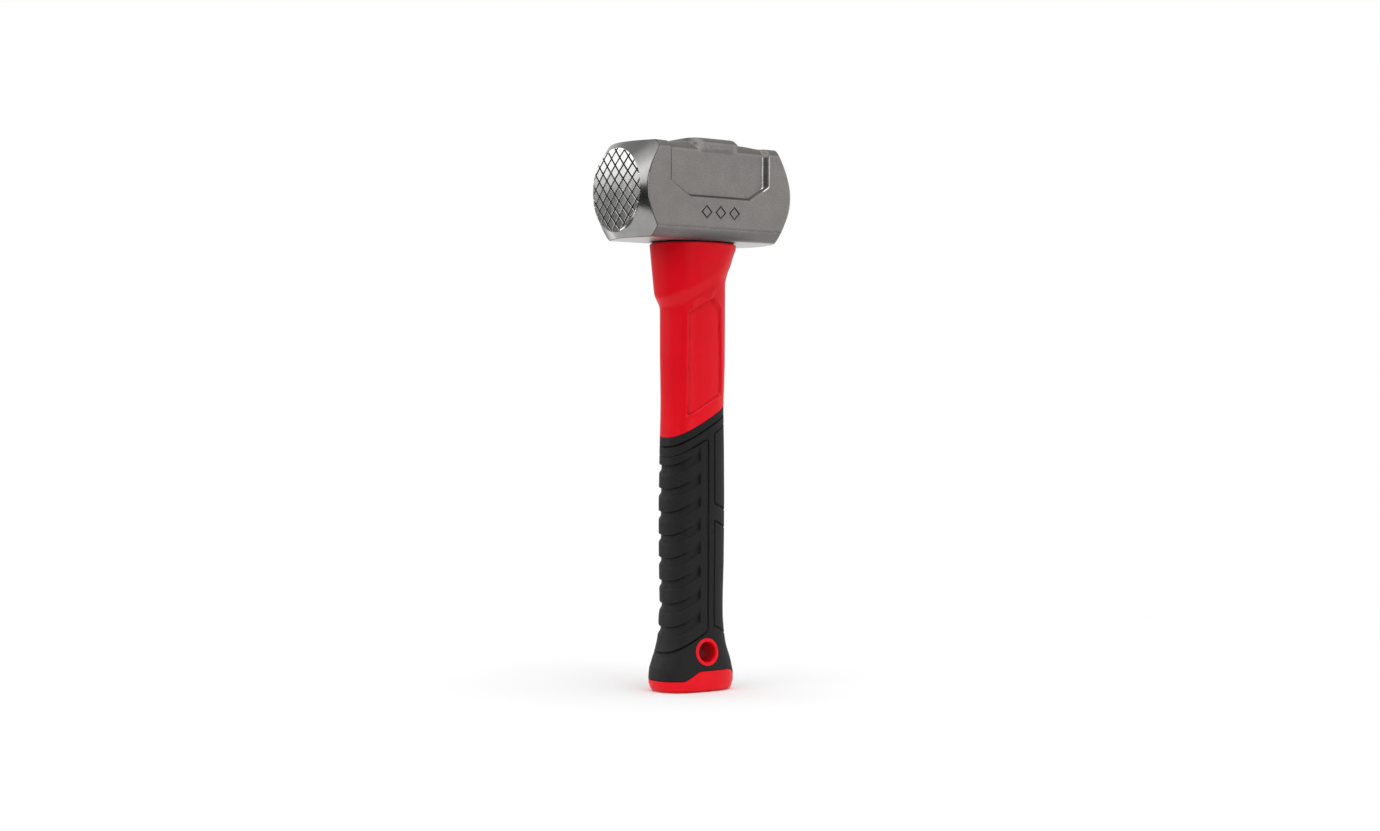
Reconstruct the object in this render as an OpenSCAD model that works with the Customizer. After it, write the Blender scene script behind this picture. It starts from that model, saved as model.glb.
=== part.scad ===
// Short-handled sledgehammer, 3 lb class: a forged double-faced head on a fibreglass-cored handle.
// Millimetres. +Z runs up the handle, X runs along the head from the milled face (-X) to the plain
// face (+X), and Y runs from cheek to cheek. The origin is the centre of the underside of the butt.

/* [Head] */
// Height of the head's long axis above the underside of the butt
axis_z = 251.5; // [248:0.5:256]
// Length over the edges of the two striking faces
head_l = 94; // [90:1:96]
// Width across the two cheeks
head_w = 48; // [47:0.5:50]
// Height from underside to top, without the eye boss
head_h = 48; // [47:0.5:50]
// Chamfer along the two top edges
top_chamfer = 3; // [2:0.5:4]
// Chamfer along the two bottom edges
bottom_chamfer = 5; // [4:0.5:6]
// Radius of the striking faces
face_r = 21; // [20:0.5:21.5]
// Rise of the crowned striking faces at their centres
crown = 1; // [0.6:0.1:1.4]
// Angle of the ground bevel behind each face, from the head's long axis
bevel_angle = 50; // [45:1:55]

/* [Milled face] */
// Distance from one groove to the next
groove_pitch = 5.1; // [4:0.1:6]
// Width of a groove
groove_w = 1.2; // [0.8:0.1:2]
// Radius of the disc that the grooves cover
milled_r = 20.2; // [18:0.1:20.5]
// Depth of the groove floors under the edge of the face
groove_sink = 0.5; // [0.3:0.1:1]

/* [Cheek recess] */
// Half the length of the recess at the cheek
recess_half = 31; // [28:0.5:33]
// Depth of the recess
recess_depth = 2.6; // [1.5:0.1:3]
// Height of the recess's lower edge above the head's long axis
recess_low = -3.3; // [-6:0.1:0]

/* [Eye] */
// Length of the eye along the head
eye_l = 28; // [26:0.5:29]
// Width of the eye
eye_w = 19; // [17:0.5:20]
// Length of the raised boss around the eye
boss_l = 34; // [32:0.5:36]
// Width of the raised boss, from one recess floor to the other
boss_w = 41; // [40:0.5:42]
// Rise of the boss above the top of the head
boss_rise = 3; // [2:0.5:4]

/* [Handle] */
// Length of the fibreglass core's section
core_l = 23; // [20:0.5:24]
// Width of the fibreglass core's section
core_w = 14.5; // [12:0.5:15]
// Thickness of the seal under the head
gasket_t = 1.2; // [0.8:0.1:1.6]
// Thickness of the rubber grip over the jacket
grip_t = 2.2; // [1.8:0.1:2.6]
// Slope of the moulded edges and ribs, as rise over run along X
slant = 0.545; // [0.5:0.005:0.58]
// Height on the axis where the red jacket gives way to the grip
grip_top = 137.2; // [130:0.1:140]

/* [Grip ribs] */
// Number of scoops between the ribs
scoops = 8; // [4:1:8]
// Distance from one scoop to the next
scoop_pitch = 11.66; // [10:0.02:11.7]
// Height of a scoop
scoop_h = 5.4; // [3:0.1:6]
// Depth of a scoop
scoop_depth = 1.1; // [0.5:0.1:1.4]

/* [Hanging hole] */
// Height of the hole's axis above the underside of the butt
hole_z = 20.2; // [19:0.1:21]
// Radius of the hole
hole_r = 5.1; // [4:0.1:5.5]
// Outer radius of the bushing that lines the hole
bushing_r = 7; // [6.5:0.1:7.3]
// Length of the bushing through the handle
bushing_l = 30; // [29:0.5:31]

/* [Hidden] */
$fn = 96;

steel = [0.55, 0.54, 0.53];
red = [0.84, 0.09, 0.16];
black = [0.13, 0.13, 0.13];
resin = [0.78, 0.70, 0.45];
glass_fibre = [0.85, 0.80, 0.62];

far = 100;                 // longer than anything it cuts
overlap = 1;               // how far cutting shapes run past a surface
under_z = axis_z - head_h / 2;
top_z = axis_z + head_h / 2;
boss_z = top_z + boss_rise;

// Cheek recess: floor distance from the centre plane and the corners of its outline
floor_y = head_w / 2 - recess_depth;
recess_corner_x = 18.7;    // where the slanted lower corners meet the level lower edge
recess_corner_z = 7.5;     // how far the slanted lower corners rise

boss_corner = 9;           // corner radius of the eye boss in plan
boss_chamfer = 2.5;        // chamfer around the boss's top

resin_low = 0.8;           // the resin stops this far under the boss's top
core_low = 34;             // lower end of the fibreglass core
jacket_low = 5;            // lower end of the jacket, inside the butt cap
crown_r = (face_r * face_r + crown * crown) / (2 * crown);
groove_node_z = 2.3;       // how far under the face's centre the middle groove crossing lies
groove_count = 5;          // grooves on each side of the middle one

sides = 48;                // points around a handle section
section_power = 2.6;       // squareness of the handle's oval section

// One ring of the handle: [height on the axis, slope along X, front, back and side half-widths].
// Front faces the milled face, back the plain face.
grip_edge = [grip_top, slant, 16.4, 16.2, 12.8];
collar_rings = [
    grip_edge,
    [150, slant, 16.3, 16.4, 12.8],
    [198.5, slant, 16.6, 16.9, 12.8],
    [202.5, slant, 16.6, 18.6, 12.8],
    [206.5, slant, 18.1, 20.4, 14.3],
    [210, slant, 19.3, 21.3, 15.6],
    [223.8, 0, 21.5, 22.2, 17.6],
    [under_z - gasket_t, 0, 20.6, 21.4, 16.8]
];
butt_rings = [
    [0, 0, 21, 19.4, 12.7],
    [1.2, 0, 22.8, 20.8, 14.2],
    [4, 0, 23.5, 21.6, 15]
];
grip_rings = [
    [jacket_low, 0, 23.5, 21.7, 15.1],
    [8, 0, 23.5, 21.7, 15.1],
    [12, 0, 22.7, 20.9, 15],
    [16, 0, 21.3, 19.6, 14.8],
    [20, 0, 19.7, 18, 14.5],
    [25, 0, 18.2, 16.5, 14],
    [30, 0, 17.3, 15.8, 13.4],
    [38, 0, 17, 15.4, 13],
    [60, 0, 16.9, 15.8, 12.9],
    [100, slant, 17, 16.3, 12.9],
    grip_edge
];

// Butt cap: its upper edge seen from the side, low at the front and raised under the hole
cap_edge = [
    [-far, -far], [-far, 5.5], [-13.5, 5.9], [-5.5, 10.6], [16, 10.6], [21.5, 6.2], [far, 6], [far, -far]
];
spigot_l = 16;             // the cap's spigot in the jacket
spigot_w = 9;
spigot_h = 6;

// Side panel sunk into the jacket, seen from the side
panel = [[-10.5, 139.8], [10.5, 151.2], [10.5, 192], [7, 196.5], [3, 198.6], [-10.5, 192.4]];
panel_depth = 1;

// Highest scoop's upper edge, read on the axis, and where the scoops end towards the back
scoop_top = 123.3;
scoop_end_x = -3.2;

function power(v, e) = sign(v) * pow(abs(v), e);

// A ring's points, its half-widths drawn in by inset
function ring_points(ring, inset) = [
    for (i = [0:sides - 1])
        let (
            a = 360 * i / sides,
            half_x = (cos(a) < 0 ? ring[2] : ring[3]) - inset,
            x = half_x * power(cos(a), 2 / section_power),
            y = (ring[4] - inset) * power(sin(a), 2 / section_power)
        )
        [x, y, ring[0] + ring[1] * x]
];

// A closed skin over a stack of rings
module loft(rings, inset = 0) {
    last = len(rings) - 1;
    points = [for (ring = rings) each ring_points(ring, inset)];
    walls = [
        for (k = [0:last - 1], i = [0:sides - 1])
            let (j = (i + 1) % sides, low = k * sides, high = low + sides)
            each [[low + i, high + i, high + j], [low + i, high + j, low + j]]
    ];
    bottom = [for (i = [0:sides - 1]) i];
    top = [for (i = [sides - 1:-1:0]) last * sides + i];
    polyhedron(points = points, faces = concat([bottom, top], walls));
}

// A flat shape drawn in X and Z, run right through along Y
module along_y(length = far) {
    rotate([90, 0, 0]) linear_extrude(length, center = true) children();
}

// A flat shape drawn in Y and Z, run right through along X
module along_x(length = 2 * far) {
    rotate([90, 0, 90]) linear_extrude(length, center = true) children();
}

// A flat oval with straight sides
module obround(l, w) {
    square([l - w, w], center = true);
    for (side = [-1, 1]) translate([side * (l - w) / 2, 0]) circle(d = w);
}

module rounded_rectangle(l, w, r) {
    square([l - 2 * r, w], center = true);
    square([l, w - 2 * r], center = true);
    for (x = [-1, 1], y = [-1, 1]) translate([x * (l / 2 - r), y * (w / 2 - r)]) circle(r = r);
}

// The head's section: a square with chamfered corners, its cheeks at half_w
module head_section(half_w) {
    half_h = head_h / 2;
    low = half_w - bottom_chamfer;
    high = half_w - top_chamfer;
    polygon([
        [-low, -half_h], [low, -half_h], [half_w, bottom_chamfer - half_h], [half_w, half_h - top_chamfer],
        [high, half_h], [-high, half_h], [-half_w, half_h - top_chamfer], [-half_w, bottom_chamfer - half_h]
    ]);
}

// The round envelope of the head: crowned faces and ground bevels, about the head's long axis
module turned_envelope() {
    half_turn = asin(face_r / crown_r);
    steps = 4;
    bevel_run = 16;
    bevel_rise = bevel_run * tan(bevel_angle);
    right = [
        for (i = [steps:-1:0])
            let (a = half_turn * i / steps)
            [crown_r * sin(a), head_l / 2 + crown - crown_r * (1 - cos(a))]
    ];
    left = [for (i = [0:steps]) [right[steps - i][0], -right[steps - i][1]]];
    shoulder = [
        [face_r + bevel_rise, bevel_run - head_l / 2],
        [face_r + bevel_rise, head_l / 2 - bevel_run]
    ];
    rotate([0, 90, 0]) rotate_extrude($fn = 180) polygon(concat(right, left, shoulder));
}

// The recess over both cheeks and the top chamfers: sloping ends, slanted lower corners
module cheek_recess() {
    cheek = head_w / 2 + overlap;
    low = recess_low;
    difference() {
        intersection() {
            along_y() polygon([
                [-recess_corner_x, low], [recess_corner_x, low],
                [recess_half, low + recess_corner_z], [recess_half, head_h],
                [-recess_half, head_h], [-recess_half, low + recess_corner_z]
            ]);
            for (turn = [0, 180]) rotate([0, 0, turn]) linear_extrude(far, center = true) polygon([
                [-recess_half - overlap, cheek], [recess_half + overlap, cheek],
                [recess_half - recess_depth, floor_y], [recess_half - recess_depth, 0],
                [recess_depth - recess_half, 0], [recess_depth - recess_half, floor_y]
            ]);
        }
        along_x() head_section(floor_y);
    }
}

// Raised boss around the eye, chamfered all round its top
module eye_boss() {
    half_l = boss_l / 2;
    half_w = boss_w / 2;
    rise = head_h / 2 + boss_rise;
    edge = rise - boss_chamfer;
    intersection() {
        linear_extrude(rise) rounded_rectangle(boss_l, boss_w, boss_corner);
        along_y() polygon([
            [-half_l, 0], [half_l, 0], [half_l, edge],
            [half_l - boss_chamfer, rise], [boss_chamfer - half_l, rise], [-half_l, edge]
        ]);
        along_x() polygon([
            [-half_w, 0], [half_w, 0], [half_w, edge],
            [half_w - boss_chamfer, rise], [boss_chamfer - half_w, rise], [-half_w, edge]
        ]);
    }
}

// Crossed grooves over the milled face, their floors in one plane just under its edge
module face_grooves() {
    floor_x = groove_sink - head_l / 2;
    depth = crown + groove_sink + overlap;
    intersection() {
        for (turn = [45, -45], k = [-groove_count:groove_count])
            rotate([turn, 0, 0])
                translate([floor_x - depth / 2, 0, k * groove_pitch - groove_node_z / sqrt(2)])
                    cube([depth, far, groove_w], center = true);
        rotate([0, 90, 0]) cylinder(r = milled_r, h = 2 * far, center = true);
    }
}

module head() {
    color(steel) translate([0, 0, axis_z]) difference() {
        union() {
            difference() {
                intersection() {
                    along_x() head_section(head_w / 2);
                    turned_envelope();
                }
                cheek_recess();
            }
            eye_boss();
        }
        linear_extrude(3 * head_h, center = true) obround(eye_l, eye_w);
        face_grooves();
    }
}

module core_hole() {
    translate([0, 0, core_low]) linear_extrude(3 * far) obround(core_l, core_w);
}

module eye_epoxy() {
    color(resin) difference() {
        translate([0, 0, under_z]) linear_extrude(boss_z - resin_low - under_z) obround(eye_l, eye_w);
        core_hole();
    }
}

module fibreglass_core() {
    color(glass_fibre) translate([0, 0, core_low]) linear_extrude(boss_z - core_low) obround(core_l, core_w);
}

module neck_gasket() {
    inset = 0.5;
    top_ring = collar_rings[len(collar_rings) - 1];
    outline = [for (p = ring_points(top_ring, inset)) [p[0], p[1]]];
    color(black) difference() {
        translate([0, 0, under_z - gasket_t]) linear_extrude(gasket_t) polygon(outline);
        core_hole();
    }
}

// The part of the jacket that the grip and the butt cap cover
module covered_jacket() {
    tucked_end = [for (i = [0:4]) grip_edge[i] + (i == 0 ? overlap : 0)];
    loft(concat(grip_rings, [tucked_end]), grip_t);
}

module hole_through(r) {
    translate([0, 0, hole_z]) rotate([90, 0, 0]) cylinder(r = r, h = far, center = true);
}

module cap_spigot() {
    translate([0, 0, jacket_low]) linear_extrude(spigot_h) obround(spigot_l, spigot_w);
}

module handle_jacket() {
    color(red) difference() {
        union() {
            loft(collar_rings);
            covered_jacket();
        }
        difference() {
            along_y() polygon(panel);
            loft(collar_rings, panel_depth);
        }
        core_hole();
        cap_spigot();
        hole_through(bushing_r);
    }
}

// Slanted scoops sunk into the front of the grip
module grip_scoops() {
    difference() {
        for (k = [0:scoops - 1]) {
            top = scoop_top - k * scoop_pitch;
            low = top - scoop_h;
            along_y() polygon([
                [-far, top - slant * far], [scoop_end_x, top + slant * scoop_end_x],
                [scoop_end_x, low + slant * scoop_end_x], [-far, low - slant * far]
            ]);
        }
        loft(grip_rings, scoop_depth);
    }
}

module grip_sleeve() {
    color(black) difference() {
        loft(concat(butt_rings, grip_rings));
        covered_jacket();
        along_y() polygon(cap_edge);
        grip_scoops();
        hole_through(bushing_r);
    }
}

module lanyard_bushing() {
    color(red) translate([0, 0, hole_z]) rotate([90, 0, 0]) difference() {
        cylinder(r = bushing_r, h = bushing_l, center = true);
        cylinder(r = hole_r, h = far, center = true);
    }
}

module butt_cap() {
    color(red) {
        difference() {
            intersection() {
                loft(concat(butt_rings, grip_rings));
                along_y() polygon(cap_edge);
            }
            covered_jacket();
            hole_through(bushing_r);
        }
        cap_spigot();
    }
}

head();
eye_epoxy();
fibreglass_core();
neck_gasket();
handle_jacket();
grip_sleeve();
lanyard_bushing();
butt_cap();
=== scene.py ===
"""Looks for the short-handled sledgehammer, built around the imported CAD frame.

Lengths below are millimetres, as in the CAD model, and become metres where a mesh is made. +Z runs up the
handle, X along the head from the milled face (-X) to the plain face (+X), Y from cheek to cheek.
"""
import math

import bmesh
import bpy
import numpy as np
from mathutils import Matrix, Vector
from mathutils.geometry import delaunay_2d_cdt


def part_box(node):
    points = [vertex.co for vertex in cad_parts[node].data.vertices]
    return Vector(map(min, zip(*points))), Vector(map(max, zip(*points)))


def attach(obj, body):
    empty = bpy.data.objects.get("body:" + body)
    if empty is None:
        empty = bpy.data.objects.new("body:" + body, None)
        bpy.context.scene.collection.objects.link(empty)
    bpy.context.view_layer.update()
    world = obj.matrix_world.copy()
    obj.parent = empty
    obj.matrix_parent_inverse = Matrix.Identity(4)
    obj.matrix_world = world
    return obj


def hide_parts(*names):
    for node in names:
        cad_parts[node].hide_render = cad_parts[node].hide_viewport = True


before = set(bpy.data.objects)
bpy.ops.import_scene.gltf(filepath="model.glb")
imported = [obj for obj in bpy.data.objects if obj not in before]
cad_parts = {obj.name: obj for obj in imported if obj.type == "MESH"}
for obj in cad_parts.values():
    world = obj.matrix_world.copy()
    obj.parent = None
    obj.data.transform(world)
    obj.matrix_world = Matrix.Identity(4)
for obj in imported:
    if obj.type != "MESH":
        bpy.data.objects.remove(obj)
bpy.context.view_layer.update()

MM = 0.001

# -------- sizes read from the frame


def node_box(node):
    """A CAD node's corners in millimetres."""
    low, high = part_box(node)
    return np.array(low) / MM, np.array(high) / MM


HEAD_LOW, HEAD_HIGH = node_box("head")
HEAD_H = 48.0
UNDER_Z = HEAD_LOW[2]
AXIS_Z = UNDER_Z + HEAD_H / 2
BOSS_RISE = HEAD_HIGH[2] - UNDER_Z - HEAD_H
HALF_W = (HEAD_HIGH[1] - HEAD_LOW[1]) / 2
CROWN = 1.0
FACE_X = HEAD_HIGH[0] - CROWN
GASKET_LOW, _ = node_box("neck_gasket")
COLLAR_RAISE = 0.5  # the collar is drawn this much higher, so that only a thin line of the seal shows
COLLAR_Z = GASKET_LOW[2] + COLLAR_RAISE
CORE_LOW, CORE_HIGH = node_box("fibreglass_core")
RESIN_LOW, RESIN_HIGH = node_box("eye_epoxy")
BUSH_LOW, BUSH_HIGH = node_box("lanyard_bushing")
HOLE_Z = (BUSH_LOW[2] + BUSH_HIGH[2]) / 2
BUSH_R = (BUSH_HIGH[2] - BUSH_LOW[2]) / 2
HOLE_R = 5.1  # the CAD part's bore for a hanging pin

# -------- small number tools


def smooth_max(a, b, k):
    """The larger of two values, rounded where they are within k of each other."""
    return np.maximum(a, b) + np.maximum(k - np.abs(a - b), 0) ** 2 / (4 * k)


def smooth_min(a, b, k):
    return -smooth_max(-a, -b, k)


def smooth_step(t):
    t = np.clip(t, 0, 1)
    return t * t * (3 - 2 * t)


def soft_clip(t, k=0.3):
    """t held between 0 and 1, with rounded corners."""
    return smooth_max(smooth_min(t, 1, k), 0, k)


def graded(marks, fine, coarse, reach):
    """Stations through every mark, close together near a mark and further apart between them."""
    out = [marks[0]]
    for a, b in zip(marks, marks[1:]):
        at = np.linspace(a, b, 200)
        near = np.minimum(at - a, b - at)
        step = fine + (coarse - fine) * smooth_step(near / reach)
        count = np.concatenate([[0], np.cumsum(np.diff(at) / ((step[1:] + step[:-1]) / 2))])
        n = max(1, int(round(count[-1])))
        out.extend(np.interp(count[-1] * np.arange(1, n + 1) / n, count, at))
    return np.array(out)


# -------- mesh tools


def add(name, data):
    """A new object in the scene."""
    made = bpy.data.objects.new(name, data)
    bpy.context.scene.collection.objects.link(made)
    return made


def new_object(name, points, faces, sharp_angle=None):
    """A smooth-shaded object from points in millimetres, with its normals outwards."""
    mesh = bpy.data.meshes.new(name)
    mesh.from_pydata((np.asarray(points) * MM).tolist(), [], faces)
    shape = bmesh.new()
    shape.from_mesh(mesh)
    bmesh.ops.remove_doubles(shape, verts=shape.verts, dist=2e-6)
    bmesh.ops.recalc_face_normals(shape, faces=shape.faces)
    if shape.calc_volume(signed=True) < 0:
        bmesh.ops.reverse_faces(shape, faces=shape.faces)
    shape.to_mesh(mesh)
    shape.free()
    mesh.shade_smooth()
    if sharp_angle is not None:
        mesh.set_sharp_from_angle(angle=math.radians(sharp_angle))
    return add(name, mesh)


def ring_faces(rows, around, first=0, closed=False):
    """Quads between consecutive rings of points, and from the last back to the first if closed."""
    faces = []
    for k in range(rows if closed else rows - 1):
        low = first + k * around
        high = first + ((k + 1) % rows) * around
        for i in range(around):
            j = (i + 1) % around
            faces.append((low + i, low + j, high + j, high + i))
    return faces


def ring_object(name, rings, closed=False, sharp_angle=None):
    """A solid from a stack of rings: a tube whose section closes on itself, or one with both ends filled."""
    rings = np.asarray(rings)
    rows, around = rings.shape[:2]
    points = rings.reshape(-1, 3)
    faces = ring_faces(rows, around, closed=closed)
    if not closed:
        ends = [rings[0].mean(0), rings[-1].mean(0)]
        points = np.vstack([points, ends])
        for centre, low in ((rows * around, 0), (rows * around + 1, (rows - 1) * around)):
            faces.extend((centre, low + i, low + (i + 1) % around) for i in range(around))
    return new_object(name, points, faces, sharp_angle)


def cut(piece, cutter, sharp_angle=None):
    """Takes the cutter's solid out of the piece, and removes the cutter."""
    modifier = piece.modifiers.new("cut", "BOOLEAN")
    modifier.operation = "DIFFERENCE"
    modifier.solver = "EXACT"
    modifier.object = cutter
    graph = bpy.context.evaluated_depsgraph_get()
    mesh = bpy.data.meshes.new_from_object(piece.evaluated_get(graph))
    piece.modifiers.clear()
    piece.data = mesh
    bpy.data.objects.remove(cutter)
    if sharp_angle is not None:
        mesh.set_sharp_from_angle(angle=math.radians(sharp_angle))


def circle(count):
    """Evenly spread turns, once round."""
    return np.arange(count) / count * 2 * math.pi


def obround_ring(length, width, z, count=96, inset=0.0):
    """A ring with straight sides and round ends, its points evenly spread by angle."""
    r = width / 2 - inset
    straight = (length - width) / 2
    turn = (np.arange(count) + 0.5) / count * 2 * math.pi
    x = r * np.cos(turn) + np.where(np.cos(turn) > 0, straight, -straight)
    return np.stack([x, r * np.sin(turn), np.full(count, z)], 1)


# -------- the head

FACE_R = 21.0
BEVEL_ANGLE = math.radians(48)
BEVEL_TAN, BEVEL_COS = math.tan(BEVEL_ANGLE), math.cos(BEVEL_ANGLE)
BODY_ROUND, BEVEL_ROUND, BOSS_ROUND = 1.1, 0.6, 0.35  # rounding where faces, bevels and boss meet
TOP_CHAMFER, BOTTOM_CHAMFER = 3.0, 5.0
RECESS_HALF, RECESS_DEPTH, RECESS_LOW = 31.0, 2.6, -3.3
RECESS_LOW_WALL = 1.25  # width of the recess's steep lower wall
RECESS_CORNER_X, RECESS_CORNER_RISE = 18.7, 7.5
BOSS_HALF_L, BOSS_HALF_W, BOSS_CORNER, BOSS_CHAMFER = 17.0, 21.75, 9.0, 2.2
BOSS_FOOT = 20.2  # height above the head's axis where the boss stands out from the cheek
TOP_SWELL, SWELL_RUN = 0.9, 12  # the top rises this much towards the boss, over this length
RIM_R = 22.4  # where the end caps meet the body, on the ground bevels
CROWN_R = (FACE_R**2 + CROWN**2) / (2 * CROWN)


def recess_sink(along, z):
    """How far the cheek is sunk, from its distance to the recess's ends, lower edge and slanted corners."""
    corner = math.hypot(RECESS_HALF - RECESS_CORNER_X, RECESS_CORNER_RISE)
    slant_x = RECESS_CORNER_RISE / corner
    slant_z = (RECESS_HALF - RECESS_CORNER_X) / corner
    ends = (RECESS_HALF - along) / RECESS_DEPTH
    lower = (z - RECESS_LOW) / RECESS_LOW_WALL
    slanted = ((z - RECESS_LOW) * slant_z - (along - RECESS_CORNER_X) * slant_x) / RECESS_LOW_WALL
    inside = smooth_min(smooth_min(ends, lower, 0.25), slanted, 0.25)
    return RECESS_DEPTH * soft_clip(inside, 0.16)


def boss_field(along, side, z):
    """Distance outside the raised boss around the eye."""
    qx = along - (BOSS_HALF_L - BOSS_CORNER)
    qy = side - (BOSS_HALF_W - BOSS_CORNER)
    plan = np.hypot(np.maximum(qx, 0), np.maximum(qy, 0)) + np.minimum(np.maximum(qx, qy), 0) - BOSS_CORNER
    top = z - (HEAD_H / 2 + BOSS_RISE)
    chamfer = (plan + top + BOSS_CHAMFER) / math.sqrt(2)
    return np.maximum(smooth_max(smooth_max(plan, top, 0.5), chamfer, 0.5), BOSS_FOOT - z)


def body_field(x, y, z):
    """Distance outside the head's bar, z from its long axis, before its ends are ground to a round bevel."""
    along = np.abs(x)
    side = np.abs(y) + recess_sink(along, z)
    half_h = HEAD_H / 2
    swell = TOP_SWELL * smooth_step((RECESS_HALF - 1 - along) / SWELL_RUN)
    field = smooth_max(side - HALF_W, z - half_h - swell, BODY_ROUND)
    field = smooth_max(field, -z - half_h, BODY_ROUND)
    field = smooth_max(field, (side + z - HALF_W - half_h + TOP_CHAMFER) / math.sqrt(2), BODY_ROUND)
    field = smooth_max(field, (side - z - HALF_W - half_h + BOTTOM_CHAMFER) / math.sqrt(2), BODY_ROUND)
    return smooth_min(field, boss_field(along, np.abs(y), z), BOSS_ROUND)


def head_field(x, y, z):
    """Distance outside the head's body with its ground bevels. The crowned faces are left to the caps."""
    bevel = ((np.hypot(y, z) - FACE_R) + (np.abs(x) - FACE_X) * BEVEL_TAN) * BEVEL_COS
    return smooth_max(body_field(x, y, z), bevel, BEVEL_ROUND)


def surface_radius(field, x, turn):
    """Distance from the long axis to the surface where the field is 0, by halving."""
    low = np.full(x.shape, 2.0)
    high = np.full(x.shape, 45.0)
    for _ in range(40):
        r = (low + high) / 2
        outside = field(x, r * np.cos(turn), r * np.sin(turn)) > 0
        low, high = np.where(outside, low, r), np.where(outside, r, high)
    return r


def section_angles():
    """Directions from the long axis through stations on the head's section, close together at its edges."""
    half_h = HEAD_H / 2
    low_z, high_z = -half_h + BOTTOM_CHAMFER, half_h - TOP_CHAMFER
    low_y, high_y = HALF_W - BOTTOM_CHAMFER, HALF_W - TOP_CHAMFER
    slant_top = RECESS_LOW + RECESS_CORNER_RISE
    cheek = [low_z, RECESS_LOW, RECESS_LOW + RECESS_LOW_WALL, slant_top, BOSS_FOOT, high_z]
    cheek = graded(cheek, 0.2, 0.6, 2)
    chamfer = graded([0, 1], 0.08, 0.16, 0.3)
    top = -graded([-high_y, -high_y + 5, 0, high_y - 5, high_y], 0.25, 1.0, 3)
    bottom = graded([-low_y, 0, low_y], 0.25, 1.4, 3)
    right = [(HALF_W, z) for z in cheek]
    right += [(HALF_W + (high_y - HALF_W) * t, high_z + (half_h - high_z) * t) for t in chamfer[1:]]
    over = [(y, half_h) for y in top[1:]]
    left = [(-high_y + (high_y - HALF_W) * t, half_h + (high_z - half_h) * t) for t in chamfer[1:]]
    left += [(-HALF_W, z) for z in cheek[::-1][1:]]
    left += [(-HALF_W + (HALF_W - low_y) * t, low_z + (-half_h - low_z) * t) for t in chamfer[1:]]
    under = [(y, -half_h) for y in bottom[1:]]
    under += [(low_y + (HALF_W - low_y) * t, -half_h + (low_z + half_h) * t) for t in chamfer[1:-1]]
    outline = np.array(right + over + left + under)
    return np.unwrap(np.arctan2(outline[:, 1], outline[:, 0]))


def crown_height(r):
    """How far the crowned face stands out past the plane of its edge, at a radius."""
    return CROWN - r**2 / (2 * CROWN_R)


def end_height(r):
    """The crowned face and the ground bevel around it, with a small rounded edge between them."""
    return smooth_min(crown_height(r), (FACE_R - r) / BEVEL_TAN, 0.25)


GROOVE_PITCH = 5.1
GROOVE_NODE_Z = 2.3
GROOVE_DEPTH = 0.95
GROOVE_STEPS = (0.27, 0.42, 0.58)  # half-widths: floor, top of the wall, land edge
GROOVE_LEVELS = (-GROOVE_DEPTH, -0.1, 0.0)
GROOVE_RUNOUT = (19.9, 21.1)  # radii between which the grooves run out at the rim
WITNESS_ANGLE = math.radians(-123.7)  # direction in Y and Z of the ground flat at the face's lower edge
WITNESS_AT = 18.5  # its distance from the face's centre
WITNESS_LINE = 20.1  # the fine groove along its outer edge
WITNESS_DROP = 0.3  # the flat lies this far below the crown
WITNESS_STEPS, WITNESS_LEVELS = (0.1, 0.3), (-0.45, 0.0)  # the fine groove's half-widths and heights
GROOVES_EACH_SIDE = 5


def groove_lines():
    """Offsets of the groove centres from the head's axis, the same for both directions."""
    return np.arange(-GROOVES_EACH_SIDE, GROOVES_EACH_SIDE + 1) * GROOVE_PITCH - GROOVE_NODE_Z / math.sqrt(2)


def milled_height(y, z):
    """The milled face's height: lands on the crown, grooves between them, a ground flat at the lower edge."""
    r = np.hypot(y, z)
    height = end_height(r)
    crown = crown_height(r)
    first, last = GROOVE_RUNOUT
    share = 1 - 0.93 * smooth_step((r - first) / (last - first))
    for across in ((y + z) / math.sqrt(2), (z - y) / math.sqrt(2)):
        distance = np.abs(across[:, None] - groove_lines()[None, :]).min(1)
        level = np.interp(distance, GROOVE_STEPS, GROOVE_LEVELS, right=9)
        height = np.minimum(height, crown + share * level)
    reach = y * math.cos(WITNESS_ANGLE) + z * math.sin(WITNESS_ANGLE)
    line = np.interp(np.abs(reach - WITNESS_LINE), WITNESS_STEPS, WITNESS_LEVELS) * share
    shelf = crown - WITNESS_DROP * share - 0.3 * np.maximum(reach - WITNESS_LINE, 0)
    witness = np.minimum(end_height(r), shelf + line)
    return np.where(reach > WITNESS_AT, witness, height)


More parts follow.
